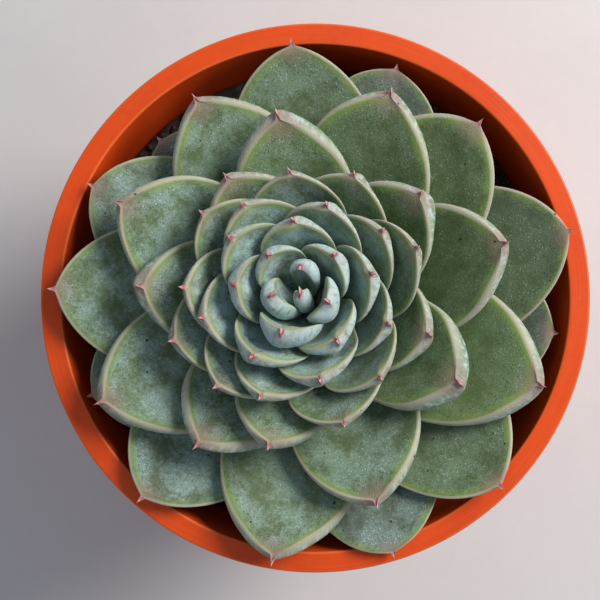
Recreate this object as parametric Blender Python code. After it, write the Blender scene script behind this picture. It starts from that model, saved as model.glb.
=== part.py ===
"""A rosette succulent growing in a round plastic pot, in metres, with +Z up.

The origin is the middle of the circle that the pot stands on. The leaves follow
one spiral from the bud outwards: each grows a fixed turn after the last. They
lie on a family of nested bowls, so that no leaf runs through another.
"""

import math

import bmesh
import bpy
import numpy as np

MM = 0.001

# Pot: a tapered wall under a thick rim band, on a ring-shaped foot.
POT_HEIGHT = 110 * MM
POT_RADIUS = 70 * MM
RIM_WIDTH = 5.3 * MM
RIM_DEPTH = 14 * MM
RIM_EDGE_ROUND = 0.7 * MM
ROUND_SAGITTA = 0.3
WALL_TAPER = 0.155
WALL_THICKNESS = 2.4 * MM
FOOT_WIDTH = 7 * MM
FLOOR_BOTTOM = 4 * MM
FLOOR_TOP = 7 * MM
DRAIN_RADIUS = 6 * MM
POT_SIDES = 56

# Soil and stem. The stem stands off the middle of the pot.
GAP = 0.35 * MM
SOIL_TOP = 91 * MM
SOIL_RISE = 1.6 * MM
SOIL_BUMP = 0.5 * MM
LUMPS_PER_X = 410.0
LUMPS_PER_Y = 370.0
SWELL_PER_METRE = 190.0
SOIL_RING_SHARES = (0.0, 0.35, 0.7, 1.0)
STEM_X = 4.0 * MM
STEM_Y = -3.4 * MM
STEM_FOOT = 78 * MM
STEM_SIDES = 16
STEM_RING_AGES = 8

# Rosette: one leaf every SPIRAL_TURN degrees, leaning a little to -X and +Y.
LEAF_COUNT = 57
SPIRAL_START = 285.0
SPIRAL_TURN = 138.57
YOUNGEST_AGE = -3.0
LEAN_FROM = 95 * MM
LEAN_X = -0.25
LEAN_Y = 0.117
BUD_SHIFT_X = 0.8 * MM
BUD_SHIFT_Y = 2.8 * MM
BUD_AGES = 6.0
NECK_RADIUS = 1.6 * MM
NECK_GROWTH = 8.2 * MM
NECK_AGES = 14.0
CROWN_TOP = 120 * MM
BASE_STEP = 0.455 * MM
STEM_CLEARANCE = 1.0 * MM
BEND_POWER = 1.3
PROFILE_STEPS = 48
PROFILE_END = 1.2
SLOPE_STEP = 0.03

# Growth stages, by age in leaves from the bud: length, slope at the base and at
# the tip (degrees above level; over 90 curls inwards), half width, half thickness,
# how many ages of room the blade may fill on either side, what share of that the
# upper face takes, how pointed the outline is, how far the blade swells into the
# gaps beside its middle, and how sharp its margins are.
STAGE_AGE = (-4, -1, 2.5, 8, 14, 20, 28, 33, 36, 40, 44, 50, 53, 57, 61)
STAGE_LENGTH = (9.5, 10.5, 16.6, 19.6, 23.2, 27, 30.2, 36, 43.5, 49, 56.5, 58, 54.5, 48.5, 46.5)
STAGE_BASE_SLOPE = (82, 70, 49, 42, 36, 33, 30, 26, 22, 18, 14, 12, 10.5, 8, 7)
STAGE_TIP_SLOPE = (126, 122, 103, 74, 64, 58, 48, 40, 35, 28, 23, 22, 20, 15, 12)
STAGE_HALF_WIDTH = (4, 4.6, 12, 13.6, 13.4, 13.6, 14.2, 15.0, 16.6, 18, 18.6, 19, 18, 16.5, 16)
STAGE_HALF_THICKNESS = (1.0, 1.1, 3.0, 3.6, 3.4, 3.1, 2.9, 2.8, 2.8, 2.8, 2.8, 2.6, 2.3, 2.0, 1.8)
STAGE_AGE_ROOM = (0.9, 0.9, 1.5, 1.6, 1.7, 1.9, 2.1, 2.2, 2.2, 2.2, 2.2, 2.2, 2.2, 2.1, 2.1)
STAGE_UPPER_SHARE = (0.9, 0.9, 0.9, 0.85, 0.75, 0.65, 0.6, 0.6, 0.6, 0.6, 0.6, 0.6, 0.6, 0.6, 0.6)
STAGE_TIP_FULLNESS = (0.5, 0.5, 0.5, 0.58, 0.62, 0.66, 0.68, 0.68, 0.68, 0.68, 0.68, 0.68, 0.68, 0.68, 0.68)
STAGE_FULLER_AGES = (0.0, 0.0, 0.4, 1.0, 1.1, 1.0, 0.8, 0.5, 0.3, 0.2, 0.1, 0.0, 0.0, 0.0, 0.0)
STAGE_EDGE_POWER = (0.8, 0.8, 0.8, 0.75, 0.65, 0.55, 0.5, 0.5, 0.5, 0.5, 0.5, 0.5, 0.5, 0.5, 0.5)

# Leaf blade: narrow base, widest two thirds of the way out, swollen to one side of
# its middle, and ending in a short sharp point.
BASE_WIDTH_SHARE = 0.36
WIDEST_AT = 0.66
TIP_CURVE = 2.0
MOST_WRAP = math.radians(57)
EDGE_BLUNTNESS = 2.3
TIP_BLUNTNESS = 6.0
CUP_AGES = 1.0
FULLEST_ACROSS = 0.22
FULLER_SPREAD = 0.3
UPPER_FULLNESS = 0.6
POINT_LENGTH = 1.5 * MM

# Where the rings along a leaf and the points across it lie.
RINGS_ALONG = (0.0, 0.22, 0.45, 0.65, 0.78, 0.88, 0.95, 0.985)
POINTS_ACROSS = (-1.0, -0.78, -0.42, 0.0, 0.42, 0.78, 1.0)

# Leaves pushed off their place on the spiral by their neighbours, in degrees.
PUSHED_ASIDE = {
    0: -6, 1: 10, 2: 6, 3: -6, 4: 10, 6: 8, 8: -4, 10: 7, 11: 5, 12: -8, 14: 6, 15: -9, 18: -8,
    23: -4, 24: 11, 25: -10, 26: 2, 28: -6, 31: -3, 32: 2, 33: -2, 34: 15, 35: 3, 37: 3, 38: 2, 42: -5,
    43: -4, 45: 6, 46: -2, 47: -2, 48: -2, 49: -6, 50: 2, 52: -3, 53: 2, 54: -6, 55: 7, 56: 9,
}
# Leaves that grew longer or shorter than their age gives, as a share of the length.
GREW_OTHERWISE = {
    0: 0.9, 2: 1.04, 3: 0.93, 4: 0.95, 5: 1.12, 6: 0.82, 8: 0.93, 9: 0.96, 10: 1.05, 11: 0.92, 13: 1.04,
    16: 0.88, 18: 1.02, 19: 0.92, 22: 1.04, 24: 1.04, 26: 1.07, 29: 0.9, 30: 0.96, 34: 1.04, 36: 0.91,
    37: 1.04, 42: 1.05, 43: 0.93, 44: 1.03, 45: 0.95, 47: 1.03, 50: 1.03, 51: 0.97, 52: 1.04,
}

POT_ORANGE = (0.78, 0.12, 0.02)
SOIL_BLACK = (0.02, 0.016, 0.012)
STEM_BROWN = (0.16, 0.12, 0.06)
LEAF_GREEN = (0.16, 0.24, 0.14)


def clear_scene():
    """Removes whatever the scene starts with."""
    for thing in list(bpy.data.objects):
        bpy.data.objects.remove(thing, do_unlink=True)


def plain_material(name, colour, roughness):
    """A Principled material with one colour."""
    material = bpy.data.materials.new(name)
    material.use_nodes = True
    shader = material.node_tree.nodes["Principled BSDF"]
    shader.inputs["Base Color"].default_value = (*colour, 1.0)
    shader.inputs["Roughness"].default_value = roughness
    shader.inputs["Metallic"].default_value = 0.0
    return material


def add_body(name, rings, material, close_loop=False):
    """One closed body through rings of points, each ring with as many points."""
    mesh = bmesh.new()
    rows = [[mesh.verts.new(point) for point in ring] for ring in rings]
    pairs = list(zip(rows, rows[1:]))
    if close_loop:
        pairs.append((rows[-1], rows[0]))
    for lower, upper in pairs:
        add_band(mesh, lower, upper)
    if not close_loop:
        add_cap(mesh, rows[0])
        add_cap(mesh, rows[-1])
    bmesh.ops.recalc_face_normals(mesh, faces=mesh.faces)
    data = bpy.data.meshes.new(name)
    mesh.to_mesh(data)
    mesh.free()
    for face in data.polygons:
        face.use_smooth = True
    data.materials.append(material)
    body = bpy.data.objects.new(name, data)
    bpy.context.scene.collection.objects.link(body)
    return body


def add_band(mesh, lower, upper):
    """The triangles between two rings. A ring of one point makes a fan."""
    count = max(len(lower), len(upper))
    for i in range(count):
        j = (i + 1) % count
        if len(lower) == 1:
            mesh.faces.new((lower[0], upper[i], upper[j]))
        elif len(upper) == 1:
            mesh.faces.new((lower[i], upper[0], lower[j]))
        else:
            mesh.faces.new((lower[i], upper[i], upper[j]))
            mesh.faces.new((lower[i], upper[j], lower[j]))


def add_cap(mesh, row):
    """Closes an end ring with strips from side to side, unless it is a point."""
    half = len(row) // 2
    for i in range(half):
        corners = (row[i], row[i + 1], row[-i - 1], row[-i])
        if len(set(corners)) > 2:
            mesh.faces.new(dict.fromkeys(corners))


def circle(centre_x, centre_y, radius, height, sides):
    """A level ring of points."""
    turns = [2 * math.pi * i / sides for i in range(sides)]
    return [
        (centre_x + radius * math.cos(turn), centre_y + radius * math.sin(turn), height)
        for turn in turns
    ]


def wall_inside(height):
    """Radius of the pot's inner wall at a height."""
    return POT_RADIUS - RIM_WIDTH - WALL_TAPER * (POT_HEIGHT - height)


def wall_outside(height):
    """Radius of the pot's outer wall at a height, under the rim band."""
    return wall_inside(height) + WALL_THICKNESS


def pot_profile():
    """Radius and height of each corner, from the foot up the outside and down the inside."""
    top = POT_HEIGHT
    rim_inside = POT_RADIUS - RIM_WIDTH
    rim_under = POT_HEIGHT - RIM_DEPTH
    half_round = RIM_EDGE_ROUND * ROUND_SAGITTA
    foot_outside = wall_outside(0.0)
    foot_inside = foot_outside - FOOT_WIDTH
    return [
        (foot_outside - RIM_EDGE_ROUND, 0.0),
        (foot_outside, RIM_EDGE_ROUND),
        (wall_outside(rim_under - RIM_EDGE_ROUND), rim_under - RIM_EDGE_ROUND),
        (POT_RADIUS - 2 * RIM_EDGE_ROUND, rim_under),
        (POT_RADIUS - RIM_EDGE_ROUND, rim_under + RIM_EDGE_ROUND),
        (POT_RADIUS, top - RIM_EDGE_ROUND),
        (POT_RADIUS - half_round, top - half_round),
        (POT_RADIUS - RIM_EDGE_ROUND, top),
        (rim_inside + RIM_EDGE_ROUND, top),
        (rim_inside + half_round, top - half_round),
        (rim_inside, top - RIM_EDGE_ROUND),
        (wall_inside(rim_under), rim_under),
        (wall_inside(FLOOR_TOP + RIM_EDGE_ROUND), FLOOR_TOP + RIM_EDGE_ROUND),
        (wall_inside(FLOOR_TOP) - RIM_EDGE_ROUND, FLOOR_TOP),
        (DRAIN_RADIUS, FLOOR_TOP),
        (DRAIN_RADIUS, FLOOR_BOTTOM),
        (foot_inside, FLOOR_BOTTOM),
        (foot_inside, 0.0),
    ]


def make_pot(material):
    """The moulded pot: one wall with a rim band, a floor with a drain hole and a foot."""
    rings = [circle(0.0, 0.0, radius, height, POT_SIDES) for radius, height in pot_profile()]
    return add_body("pot", rings, material, close_loop=True)


def soil_height(x, y):
    """Height of the lumpy soil surface."""
    out = math.hypot(x, y) / wall_inside(SOIL_TOP)
    dome = SOIL_RISE * (1.0 - out * out)
    lumps = math.sin(LUMPS_PER_X * x) * math.cos(LUMPS_PER_Y * y) + math.sin(SWELL_PER_METRE * (x + y))
    return SOIL_TOP + dome + SOIL_BUMP * lumps


def make_soil(material):
    """The plug of soil, with a socket for the stem."""
    socket = neck_radius(LEAF_COUNT) - STEM_CLEARANCE + GAP
    bottom = FLOOR_TOP + RIM_EDGE_ROUND + GAP
    edge = wall_inside(SOIL_TOP) - 2 * GAP
    rings = [[(STEM_X, STEM_Y, STEM_FOOT - GAP)]]
    rings.append(circle(STEM_X, STEM_Y, socket, STEM_FOOT - GAP, POT_SIDES))
    for share in SOIL_RING_SHARES:
        flat = circle(
            STEM_X * (1 - share), STEM_Y * (1 - share), socket + (edge - socket) * share, 0.0, POT_SIDES
        )
        rings.append([(x, y, soil_height(x, y)) for x, y, _ in flat])
    rings.append(circle(0.0, 0.0, wall_inside(bottom) - 2 * GAP - RIM_EDGE_ROUND, bottom, POT_SIDES))
    rings.append([(0.0, 0.0, bottom)])
    return add_body("soil", rings, material)


def neck_radius(age):
    """How far from the axis a leaf of this age joins on."""
    return NECK_RADIUS + NECK_GROWTH * (1.0 - math.exp(-max(age, YOUNGEST_AGE) / NECK_AGES))


def base_height(age):
    """How high on the stem a leaf of this age joins on."""
    return CROWN_TOP - BASE_STEP * age


def leaned(x, y, z):
    """A point of the upright rosette, moved to where the leaning one has it."""
    rise = max(z - LEAN_FROM, 0.0)
    return (x + STEM_X + LEAN_X * rise, y + STEM_Y + LEAN_Y * rise, z)


def make_stem(material):
    """The short tapering stem, from its foot in the soil to the crown."""
    foot = neck_radius(LEAF_COUNT) - STEM_CLEARANCE
    levels = [(foot, STEM_FOOT)]
    for age in range(LEAF_COUNT, -1, -STEM_RING_AGES):
        levels.append((neck_radius(age) - STEM_CLEARANCE, base_height(age)))
    rings = [circle(0.0, 0.0, radius, height, STEM_SIDES) for radius, height in levels]
    rings = [[leaned(*point) for point in ring] for ring in rings]
    return add_body("stem", rings, material)


def stage(age, values):
    """A growth-stage value at this age, between the two nearest stages."""
    return float(np.interp(age, STAGE_AGE, values))


def bowl_profile(age):
    """Radius and height along the bowl of this age, from the stem to past the tip."""
    along = PROFILE_END * (np.arange(PROFILE_STEPS) + 0.5) / PROFILE_STEPS
    base_slope = stage(age, STAGE_BASE_SLOPE)
    tip_slope = stage(age, STAGE_TIP_SLOPE)
    slope = np.radians(base_slope + (tip_slope - base_slope) * along**BEND_POWER)
    step = stage(age, STAGE_LENGTH) * MM * PROFILE_END / PROFILE_STEPS
    radius = neck_radius(age) + np.concatenate([[0.0], np.cumsum(np.cos(slope)) * step])
    height = base_height(age) + np.concatenate([[0.0], np.cumsum(np.sin(slope)) * step])
    return radius, height


def on_bowl(age, along):
    """Radius and height at a share of the way along the bowl of this age."""
    radius, height = bowl_profile(age)
    shares = np.linspace(0.0, PROFILE_END, PROFILE_STEPS + 1)
    return float(np.interp(along, shares, radius)), float(np.interp(along, shares, height))


def width_share(number, along):
    """A leaf's half width at a share of its length, against its widest."""
    if along < WIDEST_AT:
        return BASE_WIDTH_SHARE + (1 - BASE_WIDTH_SHARE) * math.sin(0.5 * math.pi * along / WIDEST_AT)
    past = (along - WIDEST_AT) / (1.0 - WIDEST_AT)
    return (1.0 - past**TIP_CURVE) ** stage(number, STAGE_TIP_FULLNESS)


def bowl_spacing(age, along):
    """How far apart the bowls of neighbouring ages are, square to the blade."""
    radius, height = on_bowl(age, along)
    ahead = on_bowl(age, along + SLOPE_STEP)
    behind = on_bowl(age, max(along - SLOPE_STEP, 0.0))
    run, rise = ahead[0] - behind[0], ahead[1] - behind[1]
    length = math.hypot(run, rise)
    older = on_bowl(age + 0.5, along)
    younger = on_bowl(age - 0.5, along)
    return abs((older[0] - younger[0]) * rise - (older[1] - younger[1]) * run) / length


def leaf_point(age, along, angle):
    """A point on the bowl of this age, with the bud's shift and the lean applied."""
    radius, height = on_bowl(age, along)
    bud = math.exp(-max(age, YOUNGEST_AGE) / BUD_AGES) * along
    x = radius * math.cos(angle) + BUD_SHIFT_X * bud
    y = radius * math.sin(angle) + BUD_SHIFT_Y * bud
    return leaned(x, y, height)


def fullness(across):
    """How far a blade swells at this place across it, into the gap that its neighbours leave."""
    return math.exp(-(((across - FULLEST_ACROSS) / FULLER_SPREAD) ** 2))


def leaf_ring(number, turn, reach, share_along):
    """The points round a leaf at a share of its length, across the top and back below."""
    along = share_along * reach
    wrap = stage(number, STAGE_HALF_WIDTH) * MM * width_share(number, share_along) / on_bowl(number, along)[0]
    wrap = MOST_WRAP * math.tanh(wrap / MOST_WRAP)
    room = stage(number, STAGE_AGE_ROOM)
    wanted = stage(number, STAGE_HALF_THICKNESS) * MM / bowl_spacing(number, along)
    ages = room * math.tanh(wanted / room) * (1.0 - share_along**TIP_BLUNTNESS) ** 0.5
    fuller = stage(number, STAGE_FULLER_AGES) * min(ages / room, 1.0)
    upper, under = [], []
    for across in POINTS_ACROSS:
        edge = (1.0 - abs(across) ** EDGE_BLUNTNESS) ** stage(number, STAGE_EDGE_POWER)
        middle = number - CUP_AGES * across * across
        angle = turn + across * wrap
        swell = UPPER_FULLNESS * fuller * fullness(across)
        above = edge * (stage(number, STAGE_UPPER_SHARE) * ages + swell)
        below = edge * (ages + fuller * fullness(-across))
        upper.append(leaf_point(middle - above, along, angle))
        under.append(leaf_point(middle + below, along, angle))
    return upper + under[-2:0:-1]


def make_leaf(number, material):
    """One leaf: a thick cupped blade that ends in a short sharp point."""
    turn = math.radians(SPIRAL_START + SPIRAL_TURN * number + PUSHED_ASIDE.get(number, 0))
    reach = GREW_OTHERWISE.get(number, 1.0)
    rings = [leaf_ring(number, turn, reach, share) for share in RINGS_ALONG]
    point_share = POINT_LENGTH / (stage(number, STAGE_LENGTH) * MM)
    rings.append([leaf_point(number, reach + point_share, turn)])
    return add_body(f"leaf_{number:02d}", rings, material)


def main():
    """Builds the pot, the soil, the stem and every leaf."""
    clear_scene()
    make_pot(plain_material("orange plastic", POT_ORANGE, 0.45))
    make_soil(plain_material("dark soil", SOIL_BLACK, 0.95))
    make_stem(plain_material("brown stem", STEM_BROWN, 0.8))
    for number in range(LEAF_COUNT):
        make_leaf(number, plain_material(f"leaf green {number:02d}", LEAF_GREEN, 0.6))


main()
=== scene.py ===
"""A rosette succulent in a round orange plastic pot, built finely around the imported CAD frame.

Every leaf, the stem, the soil and the pot get a finer mesh than their CAD solid, on the
same shape rules, and a procedural finish of their own.
"""

import logging
import math
from dataclasses import dataclass, field
from enum import Enum
from typing import Any, Iterable, Sequence

import bmesh
import bpy
import numpy as np
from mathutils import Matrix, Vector


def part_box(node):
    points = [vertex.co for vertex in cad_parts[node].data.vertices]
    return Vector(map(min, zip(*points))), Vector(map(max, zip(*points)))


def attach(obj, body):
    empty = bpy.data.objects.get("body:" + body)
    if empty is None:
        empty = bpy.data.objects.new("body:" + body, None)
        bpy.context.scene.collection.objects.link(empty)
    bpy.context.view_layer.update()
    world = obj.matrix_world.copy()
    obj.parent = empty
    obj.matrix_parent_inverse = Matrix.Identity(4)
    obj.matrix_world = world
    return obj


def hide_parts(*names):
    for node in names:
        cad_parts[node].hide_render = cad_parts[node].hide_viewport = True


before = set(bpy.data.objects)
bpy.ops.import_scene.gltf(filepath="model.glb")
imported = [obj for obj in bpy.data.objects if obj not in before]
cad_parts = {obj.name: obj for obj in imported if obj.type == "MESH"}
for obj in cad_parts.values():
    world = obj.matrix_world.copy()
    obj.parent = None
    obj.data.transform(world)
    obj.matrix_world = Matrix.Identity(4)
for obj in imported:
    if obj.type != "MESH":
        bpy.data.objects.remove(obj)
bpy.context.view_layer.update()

MM = 0.001
MM_PER_METRE = 1000.0
ROOT = "root"
Colour = tuple[float, float, float]
Span = tuple[float, float]
Stages = tuple[float, ...]

# Where a Mix node keeps its two colours and their result, and its two numbers.
MIX_BELOW, MIX_OVER, MIX_RESULT = 6, 7, 2
MIX_FIRST, MIX_SECOND = 2, 3
log = logging.getLogger("succulent")


# --------------------------------------------------------------------------- node helpers


class Graph:
    """A short way to write down a material or a node group."""

    def __init__(self, tree: bpy.types.NodeTree) -> None:
        """Starts on an empty tree.

        Args:
            tree: The node tree to fill.
        """
        self.tree = tree

    def add(self, kind: str, **settings: Any) -> bpy.types.Node:
        """Adds a node.

        Args:
            kind: The node's type, without its "ShaderNode" prefix.
            settings: Properties to set on the node.

        Returns:
            The new node.
        """
        node = self.tree.nodes.new(f"ShaderNode{kind}")
        for name, value in settings.items():
            setattr(node, name, value)
        return node

    def put(self, value: Any, socket: bpy.types.NodeSocket) -> None:
        """Links an output to a socket, or sets a plain value on it.

        Args:
            value: An output socket, a number, or a tuple.
            socket: The input that receives it.
        """
        if isinstance(value, bpy.types.NodeSocket):
            self.tree.links.new(value, socket)
        elif isinstance(value, tuple) and socket.type == "RGBA" and len(value) == 3:
            socket.default_value = (*value, 1.0)
        else:
            socket.default_value = value

    def math(self, operation: str, *values: Any, clamp: bool = False) -> bpy.types.NodeSocket:
        """Works out one number from others.

        Args:
            operation: The Math node's operation.
            values: Its operands.
            clamp: Whether the result is kept from 0 to 1.

        Returns:
            The result socket.
        """
        node = self.add("Math", operation=operation, use_clamp=clamp)
        for value, socket in zip(values, node.inputs):
            self.put(value, socket)
        return node.outputs[0]

    def times(self, *values: Any) -> bpy.types.NodeSocket:
        """Multiplies numbers together.

        Args:
            values: Two or more factors.

        Returns:
            Their product.
        """
        product = values[0]
        for value in values[1:]:
            product = self.math("MULTIPLY", product, value)
        return product

    def ease(self, value: Any, start: float, end: float, low: float = 0.0, high: float = 1.0) -> Any:
        """Eases from low to high while a value goes from start to end.

        Args:
            value: The number that is followed.
            start: Where the change begins.
            end: Where it is complete. It may lie below start.
            low: The result before start.
            high: The result after end.

        Returns:
            The eased number.
        """
        node = self.add("MapRange", interpolation_type="SMOOTHSTEP", clamp=True)
        if start > end:
            start, end, low, high = end, start, high, low
        for name, part in (
            ("Value", value), ("From Min", start), ("From Max", end), ("To Min", low), ("To Max", high)
        ):
            self.put(part, node.inputs[name])
        return node.outputs["Result"]

    def mix(self, share: Any, first: Any, second: Any, way: str = "MIX") -> bpy.types.NodeSocket:
        """Mixes two colours.

        Args:
            share: How much of the second colour shows.
            first: The colour below.
            second: The colour laid over it.
            way: The Mix node's blend type.

        Returns:
            The mixed colour.
        """
        node = self.add("Mix", data_type="RGBA", blend_type=way, clamp_factor=True)
        self.put(share, node.inputs[0])
        self.put(first, node.inputs[MIX_BELOW])
        self.put(second, node.inputs[MIX_OVER])
        return node.outputs[MIX_RESULT]

    def parts(self, name: str) -> list[bpy.types.NodeSocket]:
        """The three numbers of a vector that the mesh carries.

        Args:
            name: The attribute's name.

        Returns:
            Its three components.
        """
        node = self.add("SeparateXYZ")
        self.put(self.carried(name), node.inputs[0])
        return list(node.outputs)

    def carried(self, name: str) -> bpy.types.NodeSocket:
        """A vector that the mesh carries at each of its points."""
        return self.add("Attribute", attribute_name=name).outputs["Vector"]

    def scaled(self, vector: Any, factor: tuple[float, float, float]) -> bpy.types.NodeSocket:
        """Stretches a vector.

        Args:
            vector: The vector.
            factor: How much, along each axis.

        Returns:
            The stretched vector.
        """
        node = self.add("VectorMath", operation="MULTIPLY")
        self.put(vector, node.inputs[0])
        self.put(factor, node.inputs[1])
        return node.outputs[0]

    def noise(self, vector: Any, scale: float, detail: float = 2.0, roughness: float = 0.5) -> Any:
        """Soft noise from 0 to 1.

        Args:
            vector: Where it is read.
            scale: Its cells per unit of the vector.
            detail: How many finer layers it holds.
            roughness: How strong the finer layers are.

        Returns:
            The noise value.
        """
        node = self.add("TexNoise")
        self.put(vector, node.inputs["Vector"])
        self.put(scale, node.inputs["Scale"])
        self.put(detail, node.inputs["Detail"])
        self.put(roughness, node.inputs["Roughness"])
        return node.outputs["Fac"]

    def place_mm(self, upright: float = 1.0) -> bpy.types.NodeSocket:
        """Where a point of the object lies, in mm, with heights stretched by a factor."""
        stretch = (MM_PER_METRE, MM_PER_METRE, MM_PER_METRE * upright)
        return self.scaled(self.add("TexCoord").outputs["Object"], stretch)

    def group(self, tree: bpy.types.NodeTree, **values: Any) -> bpy.types.NodeSocket:
        """Places a node group with its own values.

        Args:
            tree: The group's tree.
            values: What each of its inputs receives, with _ for a space in its name.

        Returns:
            The group's one output.
        """
        node = self.add("Group")
        node.node_tree = tree
        for name, value in values.items():
            self.put(value, node.inputs[name.replace("_", " ")])
        return node.outputs[0]


@dataclass(frozen=True)
class GroupSocket:
    """One named input or output of a node group."""

    name: str
    kind: str = "NodeSocketFloat"
    value: float | None = None


def new_group(name: str, inputs: Sequence[GroupSocket], outputs: Sequence[GroupSocket]) -> Graph:
    """Makes an empty node group with its sockets.

    Args:
        name: The group's name.
        inputs: Its inputs.
        outputs: Its outputs.

    Returns:
        A Graph on the group, which already holds its input and output nodes.
    """
    tree = bpy.data.node_groups.new(name, "ShaderNodeTree")
    for way, sockets in (("INPUT", inputs), ("OUTPUT", outputs)):
        for part in sockets:
            made = tree.interface.new_socket(part.name, in_out=way, socket_type=part.kind)
            if part.value is not None:
                made.default_value = part.value
    tree.nodes.new("NodeGroupInput")
    tree.nodes.new("NodeGroupOutput")
    return Graph(tree)


def group_ends(graph: Graph) -> tuple[Any, Any]:
    """The outputs of a group's input node and the inputs of its output node."""
    kinds = {node.bl_idname: node for node in graph.tree.nodes}
    return kinds["NodeGroupInput"].outputs, kinds["NodeGroupOutput"].inputs


def flecks_group() -> bpy.types.NodeTree:
    """Round flecks scattered one to a cell, some cells staying empty.

    Returns:
        A group with a Mask output that is 1 inside a fleck.
    """
    graph = new_group(
        "flecks",
        [
            GroupSocket("Vector", "NodeSocketVector"), GroupSocket("Cells", value=1.0),
            GroupSocket("Size", value=0.3), GroupSocket("Share", value=0.5),
            GroupSocket("Softness", value=0.1),
        ],
        [GroupSocket("Mask")],
    )
    given, result = group_ends(graph)
    cells = graph.add("TexVoronoi", feature="F1")
    graph.put(given["Vector"], cells.inputs["Vector"])
    graph.put(given["Cells"], cells.inputs["Scale"])
    draw = graph.add("SeparateXYZ")
    graph.put(cells.outputs["Color"], draw.inputs[0])
    size = graph.times(given["Size"], graph.math("MULTIPLY_ADD", draw.outputs[1], 0.7, 0.5))
    inside = graph.math("SUBTRACT", size, cells.outputs["Distance"])
    shape = graph.math("DIVIDE", inside, given["Softness"], clamp=True)
    kept = graph.math("LESS_THAN", draw.outputs[0], given["Share"])
    graph.put(graph.times(shape, kept), result["Mask"])
    return graph.tree


def mottle_group() -> bpy.types.NodeTree:
    """Two scales of soft patches joined into one value.

    Returns:
        A group with a Value output around 0.5.
    """
    graph = new_group(
        "mottle",
        [
            GroupSocket("Vector", "NodeSocketVector"), GroupSocket("Broad", value=0.1),
            GroupSocket("Fine", value=1.0), GroupSocket("Fine Share", value=0.4),
        ],
        [GroupSocket("Value")],
    )
    given, result = group_ends(graph)
    broad = graph.noise(given["Vector"], given["Broad"], 2.0)
    fine = graph.noise(given["Vector"], given["Fine"], 3.0)
    node = graph.add("Mix", data_type="FLOAT")
    graph.put(given["Fine Share"], node.inputs[0])
    graph.put(broad, node.inputs[MIX_FIRST])
    graph.put(fine, node.inputs[MIX_SECOND])
    graph.put(node.outputs[0], result["Value"])
    return graph.tree


@dataclass
class Workshop:
    """The node groups that several finishes share."""

    flecks: bpy.types.NodeTree = field(default_factory=flecks_group)
    mottle: bpy.types.NodeTree = field(default_factory=mottle_group)


def new_surface(name: str) -> tuple[bpy.types.Material, Graph, bpy.types.Node]:
    """Starts a material.

    Args:
        name: Its name.

    Returns:
        The material, a Graph on it and its Principled shader.
    """
    material = bpy.data.materials.new(name)
    material.use_nodes = True
    graph = Graph(material.node_tree)
    return material, graph, material.node_tree.nodes["Principled BSDF"]


def add_bump(graph: Graph, shader: bpy.types.Node, height: Any, strength: float, distance: float) -> None:
    """Feeds a height into the shader's normal.

    Args:
        graph: The material's graph.
        shader: Its Principled shader.
        height: The height value.
        strength: The Bump node's strength.
        distance: How tall a height of 1 is, in metres.
    """
    bump = graph.add("Bump")
    graph.put(strength, bump.inputs["Strength"])
    graph.put(distance, bump.inputs["Distance"])
    graph.put(height, bump.inputs["Height"])
    graph.put(bump.outputs["Normal"], shader.inputs["Normal"])


# --------------------------------------------------------------------------- finishes


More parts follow.
